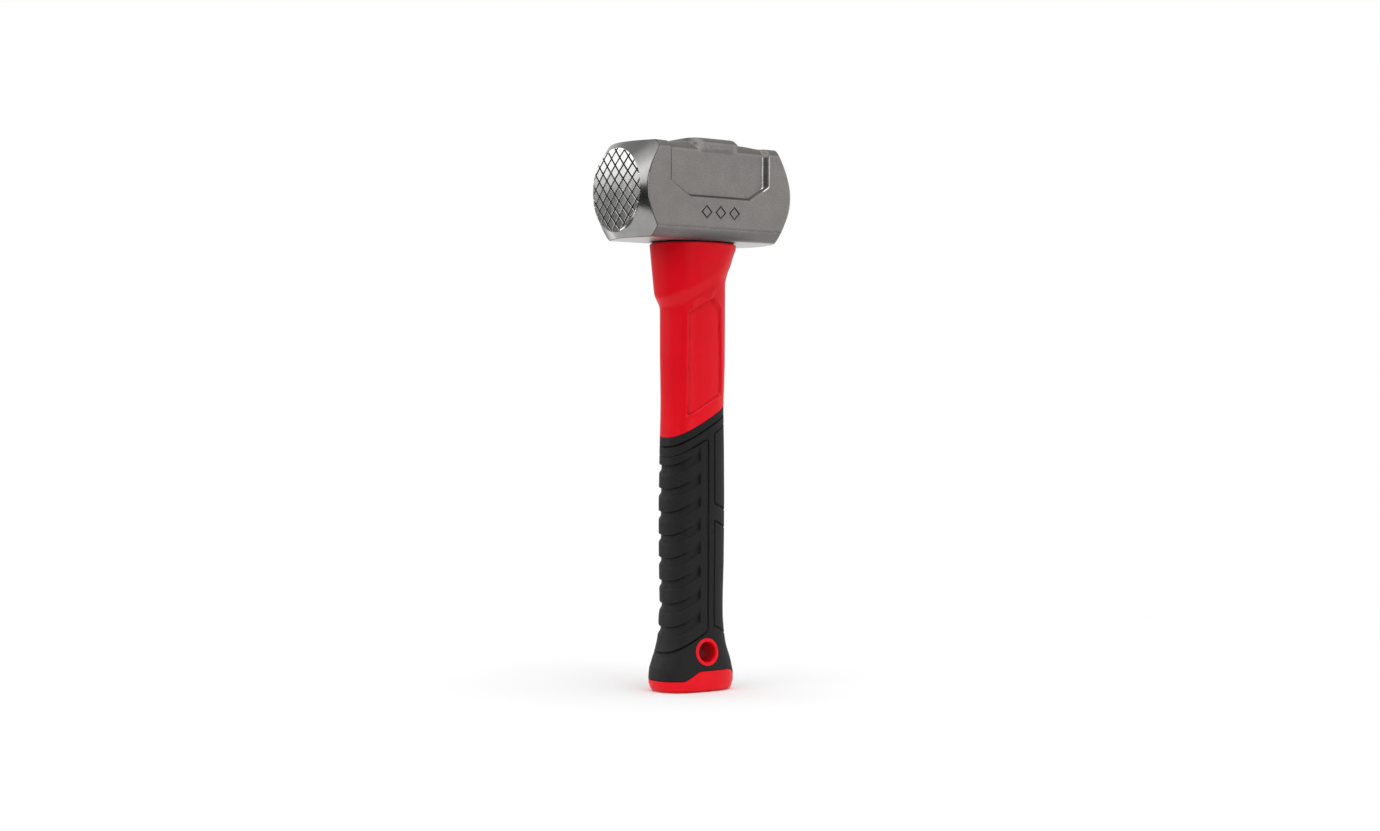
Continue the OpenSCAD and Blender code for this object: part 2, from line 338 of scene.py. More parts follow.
def milled_cap(angles):
    """The milled face's points and faces, along every groove edge and out to the rim shared with the body."""
    points, edges = [], []

    def loop(r, turns):
        first = len(points)
        points.extend((r * math.cos(t), r * math.sin(t)) for t in turns)
        edges.extend((first + i, first + (i + 1) % len(turns)) for i in range(len(turns)))

    def chord(normal, offset, reach):
        along = np.array([normal[1], -normal[0]])
        half = math.sqrt(reach**2 - offset**2)
        edges.append((len(points), len(points) + 1))
        points.extend([tuple(normal * offset - along * half), tuple(normal * offset + along * half)])

    loop(RIM_R, angles)
    even = circle(180)
    for r in (*GROOVE_RUNOUT, FACE_R - 0.7, FACE_R - 0.25, FACE_R, FACE_R + 0.35, FACE_R + 0.6):
        loop(r, even)
    reach = FACE_R + 0.35
    for normal in (np.array([-1, 1]) / math.sqrt(2), np.array([1, 1]) / math.sqrt(2)):
        for centre in groove_lines():
            for step in GROOVE_STEPS:
                for offset in (centre - step, centre + step):
                    if abs(offset) < reach - 1:
                        chord(normal, offset, reach)
    normal = np.array([math.cos(WITNESS_ANGLE), math.sin(WITNESS_ANGLE)])
    near, far = WITNESS_STEPS
    for offset in (WITNESS_AT - 0.03, WITNESS_AT + 0.03, *(WITNESS_LINE + v for v in (-far, -near, near, far))):
        chord(normal, offset, RIM_R - 0.25)

    flat, _, faces, *_ = delaunay_2d_cdt([Vector(p) for p in points], edges, [], 1, 1e-4)
    flat = np.array([tuple(v) for v in flat])
    height = milled_height(flat[:, 0], flat[:, 1])
    lifted = np.stack([-(FACE_X + height), flat[:, 0], AXIS_Z + flat[:, 1]], 1)
    return lifted, [tuple(f) for f in faces]


def make_head():
    angles = section_angles()
    around = len(angles)
    rim_x = FACE_X + end_height(np.array(RIM_R))
    past_recess = RECESS_HALF + 0.6
    middle = [0, BOSS_HALF_L - BOSS_CHAMFER, BOSS_HALF_L, RECESS_CORNER_X, RECESS_HALF - RECESS_DEPTH,
              RECESS_HALF, past_recess]
    middle = graded(middle, 0.2, 0.6, 2)
    # Beyond the recess the rows bend, so that one of them lies along the edge of the round bevel
    bar_r = surface_radius(body_field, np.full(around, past_recess + 1), angles)
    bevel_x = FACE_X - (bar_r - FACE_R) / BEVEL_TAN
    before = (1 - graded([0, 1], 0.025, 0.1, 0.5)[::-1])[::-1][1:]
    beyond = graded([0, 1], 0.04, 0.12, 0.4)[1:]
    rows = [np.full(around, v) for v in middle]
    rows += [past_recess + (bevel_x - past_recess) * share for share in before]
    rows += [bevel_x + (rim_x - bevel_x) * share for share in beyond]
    rows = [-row for row in rows[:0:-1]] + rows
    x = np.array(rows)
    turn = np.broadcast_to(angles, x.shape)
    r = surface_radius(head_field, x, turn)
    r[0] = r[-1] = RIM_R
    body = np.stack([x, r * np.cos(turn), AXIS_Z + r * np.sin(turn)], 2)

    radii = [21.9, 21.5, 21.25, 21.1, 20.95, 20.8, 20.5, 19.5, 17.5, 15, 12, 9, 6, 3, 1]
    plain = [
        np.stack([np.full(around, FACE_X + end_height(np.array(v))), v * np.cos(angles),
                  AXIS_Z + v * np.sin(angles)], 1)
        for v in radii
    ]
    rings = np.concatenate([body, np.array(plain)])
    points = rings.reshape(-1, 3)
    faces = ring_faces(len(rings), around)
    tip = len(points)
    points = np.vstack([points, [[FACE_X + CROWN, 0, AXIS_Z]]])
    faces.extend((tip, tip - around + i, tip - around + (i + 1) % around) for i in range(around))
    cap_points, cap_faces = milled_cap(angles)
    faces.extend(tuple(v + len(points) for v in f) for f in cap_faces)
    points = np.vstack([points, cap_points])
    piece = new_object("head_forging", points, faces)

    eye_l, eye_w = RESIN_HIGH[0] - RESIN_LOW[0], RESIN_HIGH[1] - RESIN_LOW[1]
    top = HEAD_HIGH[2]
    mouth = 0.9
    levels = [(UNDER_Z - 3, mouth + 3), (UNDER_Z, mouth), (UNDER_Z + mouth, 0), (top - mouth, 0), (top, mouth),
              (top + 3, mouth + 3)]
    cut(piece, ring_object("eye_cutter", [obround_ring(eye_l, eye_w, z, 128, -out) for z, out in levels]))
    for k in (-1, 0, 1):
        cut(piece, lozenge_cutter(k * LOZENGE_PITCH))
    piece.data.shade_smooth()
    piece.data.set_sharp_from_angle(angle=math.radians(32))
    sharpen_face(piece.data)
    return piece


def sharpen_face(mesh):
    """Keeps the lands of the milled face flat up to the edges of their grooves."""
    shape = bmesh.new()
    shape.from_mesh(mesh)
    for edge in shape.edges:
        inside = all(
            v.co.x < (1 - FACE_X) * MM and math.hypot(v.co.y, v.co.z - AXIS_Z * MM) < (FACE_R - 0.2) * MM
            for v in edge.verts
        )
        if inside and len(edge.link_faces) == 2 and edge.calc_face_angle() > math.radians(6):
            edge.smooth = False
    shape.to_mesh(mesh)
    shape.free()


LOZENGE_HALF, LOZENGE_LINE, LOZENGE_DEPTH = 3.5, 0.75, 0.5
LOZENGE_PITCH, LOZENGE_Z = 8.6, -10.4


def lozenge_cutter(x):
    """A lozenge outline that stamps the near cheek."""
    turn = circle(4)
    corner = np.stack([np.cos(turn), np.sin(turn)], 1) * LOZENGE_HALF
    inner = corner * (1 - LOZENGE_LINE * math.sqrt(2) / LOZENGE_HALF)
    outside, floor = -HALF_W - 1, LOZENGE_DEPTH - HALF_W
    rings = [
        [(x + p[0], y, AXIS_Z + LOZENGE_Z + p[1]) for p in outline]
        for outline, y in ((corner, outside), (corner, floor), (inner, floor), (inner, outside))
    ]
    return ring_object("lozenge_cutter", rings, closed=True)


# -------- the handle's form

SECTION_POWER = 2.6  # the section is a superellipse of this power
SLANT = 0.545  # slope of the handle's moulded edges
GRIP_TOP, GRIP_T = 137.2, 2.2  # height of the grip's upper end on the axis, and its thickness
NOMINAL, NOMINAL_SIDE = 16.5, 13.0  # the shaft's half-widths that the handle's features are placed against
NOMINAL_FRONT, NOMINAL_BACK = 23.4, 22.4  # the butt's, for the stepped edge of the cap
EDGE_BEND = 9.0  # height over which the grip's rings straighten out above that edge
# Heights on the axis and half-widths of the handle there, at the front (-X), the back and the sides
FRONT_FORM = np.array([
    [0, 21.9], [4, 22.7], [8, 22.7], [13.3, 21.9], [17, 21.4], [21, 21.0], [25, 20.5], [28, 19.9], [30, 19.2],
    [33, 17.9], [36, 17.3], [39, 17.0], [46, 16.2], [54, 16.1], [62, 16.4], [80, 16.8], [103, 17.0],
    [117, 16.7], [131, 16.5], [137.2, 16.3], [146, 16.0], [156, 15.95], [166, 16.15], [178, 16.5],
    [202.5, 16.6], [210, 19.3], [224, 21.5], [228, 21.9],
])
BACK_FORM = np.array([
    [0, 21.8], [4, 22.5], [8.5, 22.7], [11, 22.0], [14.2, 20.8], [16.5, 19.2], [18.9, 17.7], [21.5, 16.9],
    [23.8, 16.5], [28, 15.9], [35, 16.0], [42.5, 16.15], [50, 16.45], [57, 16.75], [70, 16.9], [90, 17.0],
    [115, 16.7], [128, 16.4], [137.2, 16.2], [145, 16.6], [158, 17.1], [199.5, 17.2], [202.8, 18.4],
    [206.5, 20.3], [210, 21.2], [224, 22.2], [228, 22.6],
])
SIDE_FORM = np.array([
    [0, 14.8], [4, 15.0], [12, 15.0], [16, 14.8], [20, 14.5], [25, 14.0], [30, 13.4], [38, 13.0], [60, 12.9],
    [137.2, 12.8], [202.5, 12.8], [210, 15.6], [224, 17.6], [228, 18.0],
])
FORM_STEP, FORM_BLUR, FORM_REACH = 0.25, 1.3, 16  # sampling, smoothing, and its reach in samples
form_z = np.arange(0, 228.01, FORM_STEP)
blur = np.exp(-0.5 * (np.arange(-FORM_REACH, FORM_REACH + 1) * FORM_STEP / FORM_BLUR) ** 2)
blur /= blur.sum()


def smoothed(form):
    """A form's half-widths at the heights form_z, without its corners."""
    widths = np.interp(form_z, form[:, 0], form[:, 1])
    return np.convolve(np.pad(widths, FORM_REACH, mode="reflect", reflect_type="odd"), blur, "valid")


form_widths = [smoothed(form) for form in (FRONT_FORM, BACK_FORM, SIDE_FORM)]


def half_widths(z, at_front):
    """The handle's half-widths along X, at the front or the back, and along Y, at heights on the axis."""
    front, back, side = (np.interp(z, form_z, widths) for widths in form_widths)
    return np.where(at_front, front, back), side


def unit_section(turn):
    """The outline of the handle's section, for half-widths of 1."""
    return [np.sign(v) * np.abs(v) ** (2 / SECTION_POWER) for v in (np.cos(turn), np.sin(turn))]


def slope_at(h):
    """Slope of the handle's moulded edges: level at the butt and at the collar's top, slanted between."""
    return SLANT * np.clip((h - 12) / 16, 0, 1) * np.clip((224 - h) / 14, 0, 1)


def cap_edge(x):
    """Height of the butt cap's stepped upper edge."""
    return np.interp(x, [-14.5, -13, -6, -4.5, 15, 16.5, 21, 22], [5.8, 6.2, 10.3, 10.7, 10.7, 10.3, 6.6, 6.2])


def around_handle(marks, fine, coarse):
    """Turns about the handle, with lines exactly at the given places along X on the nominal section."""
    turn = np.linspace(0, math.pi, 4001)
    fx, fy = unit_section(turn)
    x, y = NOMINAL * fx, NOMINAL_SIDE * fy
    length = np.concatenate([[0], np.cumsum(np.hypot(np.diff(x), np.diff(y)))])
    at = sorted(np.interp(-np.array(marks), -x, length))
    stations = np.interp(graded([0, *at, length[-1]], fine, coarse, 3), length, turn)
    return np.concatenate([stations, 2 * math.pi - stations[1:-1][::-1]])


def handle_rings(turn, heights, inset=0.0, detail=None, edge=None):
    """Rings of the handle's skin, at heights on its axis. Those near a given edge bend to the cap's edge."""
    rings = []
    fx, fy = unit_section(turn)
    insets = np.broadcast_to(inset, (len(heights),))
    for h, drawn_in in zip(heights, insets):
        level = np.full(len(turn), float(h))
        if edge is not None:
            nominal = np.where(fx < 0, NOMINAL_FRONT, NOMINAL_BACK) * fx
            level = h + (cap_edge(nominal) - edge) * np.clip(1 - (h - edge) / EDGE_BEND, 0, 1)
        half_x, side = half_widths(level, fx < 0)
        x, y = half_x * fx, side * fy
        slope_x = np.abs(fx) ** (SECTION_POWER - 1) * np.sign(fx) / half_x
        slope_y = np.abs(fy) ** (SECTION_POWER - 1) * np.sign(fy) / side
        size = np.hypot(slope_x, slope_y)
        z = level + slope_at(level) * x
        out = -drawn_in
        if detail is not None:
            out = out + detail(fx * NOMINAL, z, level)
        rings.append(np.stack([x + out * slope_x / size, y + out * slope_y / size, z], 1))
    return np.array(rings)


def sunk_line(distance, half_width, depth):
    """A round-bottomed groove around the line where distance is 0."""
    return -depth * smooth_step(1 - np.abs(distance) / half_width)


def box_distance(x, z, low_x, high_x, low_z, high_z, corner):
    """Distance outside a rounded rectangle."""
    qx = np.abs(x - (low_x + high_x) / 2) - (high_x - low_x) / 2 + corner
    qz = np.abs(z - (low_z + high_z) / 2) - (high_z - low_z) / 2 + corner
    return np.hypot(np.maximum(qx, 0), np.maximum(qz, 0)) + np.minimum(np.maximum(qx, qz), 0) - corner


# -------- the red jacket

COLLAR_EDGE = 1.3  # radius of the collar's rounded top edge
PANEL_HALF, PANEL_BACK = 10.4, 9.0  # the side panel's edges towards -X and +X, at its top
PANEL_HALF_FLARE, PANEL_BACK_FLARE = 0.9, 1.4  # how much further out they are at its foot
PANEL_LOW, PANEL_HIGH = 144.7, 197.6  # heights on the axis of its slanted ends
PANEL_DEPTH, PANEL_WALL, PANEL_LIP = 1.05, 0.9, 0.22
# The slanted line that cuts its upper back corner
SHOULDER_TOP, SHOULDER_X, SHOULDER_FALL = 199.5, 3.2, 0.95
BROW, BROW_END = 0.7, 5.5  # height of the ridge above the panel, and where it fades out


def jacket_detail(x, z, h):
    """The sunk side panel: slanted ends, an extra shoulder at its upper back corner, a lip around it."""
    ends = np.minimum(h - PANEL_LOW, PANEL_HIGH - h)
    shoulder = (SHOULDER_TOP - z - (x - SHOULDER_X) * SHOULDER_FALL) / 1.38
    lower = np.clip((PANEL_HIGH - h) / (PANEL_HIGH - PANEL_LOW), 0, 1)
    sides = np.minimum(PANEL_HALF + PANEL_HALF_FLARE * lower + x, PANEL_BACK + PANEL_BACK_FLARE * lower - x)
    inside = smooth_min(sides, ends, 0.9)
    inside = smooth_min(inside, shoulder, 1.2)
    sunk = -PANEL_DEPTH * smooth_step(inside / PANEL_WALL)
    lip = PANEL_LIP * np.exp(-((inside + 0.5) / 0.7) ** 2)
    over = smooth_step((BROW_END - x) / 3) * smooth_step((x + PANEL_HALF + 0.6) / 4)
    brow = BROW * over * np.exp(-((h - PANEL_HIGH - 1.8) / 1.6) ** 4)
    return sunk + lip + brow


def make_jacket():
    marks = [PANEL_BACK + PANEL_BACK_FLARE, PANEL_BACK + 0.5, PANEL_BACK - 0.9, 0, 0.9 - PANEL_HALF,
             -PANEL_HALF - PANEL_HALF_FLARE]
    turn = around_handle(marks, 0.25, 1.1)
    marks = [GRIP_TOP, GRIP_TOP + 1.2, PANEL_LOW, PANEL_LOW + 1.1, 170, PANEL_HIGH - 1.1, PANEL_HIGH,
             PANEL_HIGH + 1.7, PANEL_HIGH + 3.2, 206, 212, COLLAR_Z - COLLAR_EDGE]
    skin = handle_rings(turn, graded(marks, 0.3, 0.8, 3), detail=jacket_detail)
    edge = handle_rings(turn, [GRIP_TOP], 0.35)
    rounding = np.linspace(0, math.pi / 2, 7)[1:]
    top = handle_rings(turn, [COLLAR_Z - COLLAR_EDGE * (1 - math.sin(a)) for a in rounding],
                       [COLLAR_EDGE * (1 - math.cos(a)) for a in rounding])
    covered = handle_rings(turn, [GRIP_TOP, GRIP_TOP - 0.5, 100, 60, 38, 30, 25, 20, 16, 12, 8, 5], GRIP_T)
    core_l, core_w = CORE_HIGH[0] - CORE_LOW[0], CORE_HIGH[1] - CORE_LOW[1]

    def bore(z, l=core_l, w=core_w):
        r = w / 2
        cos, sin = np.cos(turn), np.sin(turn)
        x = r * cos + np.sign(cos) * (l - w) / 2 * np.minimum(np.abs(cos) * 20, 1)
        return np.stack([x, r * sin, np.full(len(turn), z)], 1)

    rings = [bore(CORE_LOW[2]), bore(COLLAR_Z), *top[::-1], *skin[::-1], *edge, *covered]
    rings += [bore(5, 16, 9), bore(11, 16, 9)]
    piece = ring_object("jacket_moulding", rings, sharp_angle=50)
    cut(piece, hole_cutter(), 40)
    return piece


def hole_cutter():
    """A long peg of the bushing's radius, along Y through the butt."""
    turn = circle(96)
    x, z = BUSH_R * np.cos(turn), HOLE_Z + BUSH_R * np.sin(turn)
    return ring_object("hole_cutter", [np.stack([x, np.full(96, y), z], 1) for y in (-25, 25)])


# -------- the black grip

CAP_EDGE_H = 8.0  # nominal height of the grip's lower end
SCOOP_TOP, SCOOP_H, SCOOP_PITCH, SCOOPS = 123.3, 5.4, 11.66, 8
SCOOP_END, SCOOP_FADE = -3.2, -9.0
SCOOP_DEPTH, RIB_SWELL = 1.25, 0.28
FIELD_BACK, FIELD_LOW, FIELD_HIGH = 1.3, 30.0, 127.4  # the groove that frames the scoops
TOP_LINE = 132.5  # height of the groove under the grip's top edge
LINE_W, LINE_D = 0.62, 0.75
BACK_PANEL = 5.3  # front edge of the two panels at the back
# Their slanted ends: height where x is 0, and fall towards +X
UPPER_LOW, UPPER_LOW_FALL = 97.2, 0.4
LOWER_HIGH, LOWER_HIGH_FALL = 88.5, 0.41
LOWER_LOW, LOWER_LOW_FALL = 35.5, 0.45
LIP_AT, LIP_IN = (0.02, 0.15), (0.45, 0.16)  # the grip's rounded ends: distances from the end, and insets


def grip_detail(x, z, h):
    """Slanted scoops at the front, the groove that frames them, a groove under the top edge, back panels."""
    out = sunk_line(h - TOP_LINE, LINE_W, LINE_D)
    frame_line = box_distance(x, h, -60, FIELD_BACK, FIELD_LOW, FIELD_HIGH, 2.2)
    out = np.minimum(out, sunk_line(frame_line, LINE_W, LINE_D))

    upper = np.maximum(h - FIELD_HIGH, UPPER_LOW - UPPER_LOW_FALL * x - z)
    lower = np.maximum(z - LOWER_HIGH + LOWER_HIGH_FALL * x, LOWER_LOW - LOWER_LOW_FALL * x - z)
    for ends in (upper, lower):
        panel = np.maximum(BACK_PANEL - x, ends)
        out = np.minimum(out, sunk_line(panel, LINE_W * 0.85, LINE_D * 0.9))

    fade = smooth_step((x - SCOOP_FADE) / 5 + 0.4)
    end = smooth_step((SCOOP_END - x) / 0.5)
    for k in range(SCOOPS):
        low = SCOOP_TOP - SCOOP_H - k * SCOOP_PITCH
        across = (h - low) / SCOOP_H
        wall_low = smooth_step(across / 0.22)
        valley = smooth_step((1 - across) / 0.09) * (0.8 + 0.2 * across)
        ramp = np.clip(1.65 - across, 0, 1)
        out = np.minimum(out, -SCOOP_DEPTH * end * wall_low * ((1 - fade) * valley + fade * ramp ** 1.3))
        # each rib swells a little towards its sharp lower edge
        rib = (h - low - SCOOP_H) / (SCOOP_PITCH - SCOOP_H)
        swell = np.where((rib > 0) & (rib < 1), np.sin(np.clip(rib, 0, 1) * math.pi) ** 0.7, 0)
        out = out + RIB_SWELL * swell * (1 - fade) * end
    return out


def make_grip():
    marks = [15, 12, 8.5, BACK_PANEL + 0.5, BACK_PANEL, BACK_PANEL - 0.5, FIELD_BACK + 0.6, FIELD_BACK,
             FIELD_BACK - 0.6, SCOOP_END, SCOOP_END - 0.5, -12]
    turn = around_handle(marks, 0.24, 0.9)
    marks = [CAP_EDGE_H + 0.45, FIELD_LOW - LINE_W, FIELD_LOW, FIELD_LOW + LINE_W]
    for k in range(SCOOPS)[::-1]:
        low = SCOOP_TOP - SCOOP_H - k * SCOOP_PITCH
        marks += [low, low + 1.2, low + SCOOP_H - 0.5, low + SCOOP_H]
    marks += [at + step for at in (FIELD_HIGH, TOP_LINE) for step in (-LINE_W, 0, LINE_W)]
    # The back panels' slanted ends cross the heights in the ranges
    marks += [GRIP_TOP - 0.45, *range(20, 32, 2), *range(70, 97, 2)]
    heights = graded(sorted(marks), 0.24, 0.65, 2)
    low_edge = handle_rings(turn, [CAP_EDGE_H + at for at in LIP_AT], LIP_IN, edge=CAP_EDGE_H)
    skin = handle_rings(turn, heights, detail=grip_detail, edge=CAP_EDGE_H)
    high_edge = handle_rings(turn, [GRIP_TOP - at for at in LIP_AT[::-1]], LIP_IN[::-1])
    inside = [GRIP_TOP - LIP_AT[0], 120, 80, 50, 38, 30, 25, 20, 16, 12, CAP_EDGE_H + LIP_AT[0]]
    inner = handle_rings(turn, inside, GRIP_T, edge=CAP_EDGE_H)
    piece = ring_object("grip_moulding", [*low_edge, *skin, *high_edge, *inner], closed=True, sharp_angle=50)
    cut(piece, hole_cutter(), 40)
    return piece


# -------- butt cap, bushing, seal, resin and core

CAP_EDGE_R = 3.2  # radius of the butt cap's rounded lower edge
SPIGOT_Z, SPIGOT_IN = 5.0, 8.0  # where the cap's spigot starts, and how far it is inside the skin


def make_cap():
    turn = around_handle([14, 0, -14], 0.5, 0.9)
    base = [(0.55, 12.0), (0.55, 6.5), (0.15, 4.2), (0.0, CAP_EDGE_R + 0.3)]
    rings = [handle_rings(turn, [0.5], inset)[0] * [1, 1, 0] + [0, 0, z] for z, inset in base]
    for a in np.linspace(0, math.pi / 2, 8)[1:]:
        ring = handle_rings(turn, [1.0], CAP_EDGE_R * (1 - math.sin(a)))[0]
        ring[:, 2] = CAP_EDGE_R * (1 - math.cos(a))
        rings.append(ring)
    top = handle_rings(turn, [CAP_EDGE_H], edge=CAP_EDGE_H)[0][:, 2]
    spigot = np.full(len(turn), SPIGOT_Z)
    levels = [(CAP_EDGE_R + (top - CAP_EDGE_R) * share, 0.0) for share in (0.25, 0.5, 0.75, 0.92, 0.985)]
    levels += [(top - 0.06, 0.14), (top, 0.4), (top, GRIP_T), (spigot, GRIP_T), (spigot, SPIGOT_IN)]
    rings += [ring_at(turn, height, inset) for height, inset in levels]
    return ring_object("butt_cap_moulding", rings, sharp_angle=60)


def ring_at(turn, height, inset):
    """A ring of the butt's skin whose points each have their own height, drawn in by inset."""
    fx, fy = unit_section(turn)
    half_x, side = half_widths(height, fx < 0)
    return np.stack([(half_x - inset) * fx, (side - inset) * fy, height], 1)


def butt_side(x, z):
    """Distance of the butt's side from the middle plane, at a place near the hanging hole."""
    half_x, side = half_widths(z, x < 0)
    return side * (1 - np.abs(x / half_x) ** SECTION_POWER) ** (1 / SECTION_POWER)


def make_bushing():
    """The ring that lines the hanging hole, its flanges following the butt's sides."""
    turn = circle(128)
    # Radius, and how far it stands proud of the butt's side
    profile = [(BUSH_R, -1.2), (BUSH_R, -0.15), (BUSH_R - 0.12, 0.1), (BUSH_R - 0.4, 0.22),
               (BUSH_R - 0.9, 0.27), (HOLE_R + 0.75, 0.22), (HOLE_R + 0.35, 0.05), (HOLE_R + 0.1, -0.3),
               (HOLE_R, -0.8), (HOLE_R, -4)]
    rings = []
    for side, steps in ((-1, profile), (1, profile[::-1])):
        for r, proud in steps:
            x, z = r * np.cos(turn), HOLE_Z + r * np.sin(turn)
            rings.append(np.stack([x, side * (butt_side(x, z) + proud), z], 1))
    return ring_object("lanyard_ring", rings, closed=True, sharp_angle=60)


def make_gasket():
    turn = around_handle([0], 0.9, 0.9)
    thick = UNDER_Z - COLLAR_Z
    rings = []
    for share, inset in ((0, 1.8), (0.12, 1.5), (0.5, 1.35), (0.88, 1.5), (1, 1.8), (1, 8), (0, 8)):
        ring = handle_rings(turn, [COLLAR_Z], inset)[0]
        ring[:, 2] = COLLAR_Z + thick * share
        rings.append(ring)
    return ring_object("neck_seal", rings, closed=True, sharp_angle=60)


def make_resin():
    """Resin between the core and the eye, with a meniscus on both walls."""
    eye_l, eye_w = RESIN_HIGH[0] - RESIN_LOW[0], RESIN_HIGH[1] - RESIN_LOW[1]
    gap = (eye_w - (CORE_HIGH[1] - CORE_LOW[1])) / 2
    top, low = RESIN_HIGH[2], RESIN_LOW[2]
    ripple = np.sin(np.arange(96) * 0.41) * 0.08 + np.sin(np.arange(96) * 0.13 + 1) * 0.1
    rings = [obround_ring(eye_l, eye_w, low, inset=0.02)]
    meniscus = [(0.02, 0.0), (0.1, -0.28), (0.3, -0.5), (0.5, -0.56), (0.7, -0.5), (0.9, -0.22), (1, 0.02)]
    for share, level in meniscus:
        ring = obround_ring(eye_l, eye_w, top + level, inset=gap * share)
        ring[:, 2] += ripple * (1 - abs(2 * share - 1))
        rings.append(ring)
    rings.append(obround_ring(eye_l, eye_w, low, inset=gap))
    return ring_object("eye_resin", rings, closed=True, sharp_angle=60)


def make_core():
    length, width = CORE_HIGH[0] - CORE_LOW[0], CORE_HIGH[1] - CORE_LOW[1]
    low, top = CORE_LOW[2], CORE_HIGH[2]
    levels = [(low, 3), (low, 0.4), (low + 0.4, 0), (top - 0.9, 0), (top - 0.45, 0.06), (top - 0.12, 0.3),
              (top - 0.02, 0.7), (top - 0.03, 2.5), (top - 0.04, 4.5)]
    rings = [obround_ring(length, width, z, inset=inset) for z, inset in levels]
    return ring_object("core_rod", rings, sharp_angle=60)


# -------- materials


class Graph:
    """A node tree, with number expressions written as calls."""

    def __init__(self, tree, coordinates):
        self.tree = tree
        self.place = tree.nodes.new("ShaderNodeTexCoord").outputs[coordinates]

    def put(self, socket, value):
        if hasattr(value, "links"):
            self.tree.links.new(value, socket)
        elif socket.type == "RGBA" and len(value) == 3:
            socket.default_value = (*value, 1)
        else:
            socket.default_value = value

    def node(self, kind, *values, **named):
        """A new node, its inputs set in their order or by their names."""
        node = self.tree.nodes.new("ShaderNode" + kind)
        for socket, value in zip(node.inputs, values):
            self.put(socket, value)
        for name, value in named.items():
            self.put(node.inputs[name], value)
        return node

    def math(self, operation, a, b=0.0, c=0.0):
        node = self.node("Math", a, b, c)
        node.operation = operation
        return node.outputs[0]

    def times(self, *values):
        """The product of two or more values."""
        total = values[0]
        for value in values[1:]:
            total = self.math("MULTIPLY", total, value)
        return total

    def length(self, a, b):
        return self.math("SQRT", self.math("ADD", self.times(a, a), self.times(b, b)))

    def axes(self):
        return self.node("SeparateXYZ", self.place).outputs

    def facing_up(self):
        """How far the surface faces up: 1 on top, 0 on a wall. The steel paints shade by it."""
        return self.node("SeparateXYZ", self.node("NewGeometry").outputs["Normal"]).outputs[2]

    def stretch(self, scale):
        return self.node("Mapping", self.place, Scale=scale).outputs[0]

    def noise(self, scale, detail=4.0, roughness=0.5, at=None):
        at = self.place if at is None else at
        node = self.node("TexNoise", Vector=at, Scale=scale, Detail=detail, Roughness=roughness)
        return node.outputs["Fac"]

    def cells(self, scale, at=None):
        at = self.place if at is None else at
        return self.node("TexVoronoi", Vector=at, Scale=scale).outputs["Distance"]

    def span(self, value, low, high, to_low=0.0, to_high=1.0):
        """to_low where the value is at low, to_high where it is at high, held there beyond them."""
        return self.node("MapRange", value, low, high, to_low, to_high).outputs[0]

    def band(self, value, start, low, high, end):
        """1 from low to high, fading to 0 at start and end."""
        return self.times(self.span(value, start, low), self.span(value, end, high))

    def mix(self, share, a, b):
        """From colour a to colour b."""
        node = self.node("Mix", share)
        node.data_type = "RGBA"
        self.put(node.inputs[6], a)
        self.put(node.inputs[7], b)
        return node.outputs[2]

    def blend(self, share, a, b):
        """From number a to number b."""
        node = self.node("Mix", share)
        self.put(node.inputs[2], a)
        self.put(node.inputs[3], b)
        return node.outputs[0]

    def corner(self, reach, low=0.4, high=0.95):
        """1 in inner corners narrower than the reach, in millimetres, and 0 on open surfaces. The materials use
        it to paint shade into corners.
        """
        node = self.node("AmbientOcclusion", Distance=reach * MM)
        node.samples = 8
        node.only_local = True
        return self.span(node.outputs["AO"], low, high, 1.0, 0.0)

    def bump(self, height, strength, distance, under=None):
        node = self.node("Bump", Strength=strength, Distance=distance, Height=height)
        if under is not None:
            self.put(node.inputs["Normal"], under)
        return node.outputs[0]


class Paint(Graph):
    """A material's node tree."""

    def __init__(self, name):
        self.material = bpy.data.materials.new(name)
        self.material.use_nodes = True
        self.shader = self.material.node_tree.nodes["Principled BSDF"]
        super().__init__(self.material.node_tree, "Object")

    def finish(self, **sockets):
        for name, value in sockets.items():
            self.put(self.shader.inputs[name.replace("_", " ")], value)
        return self.material


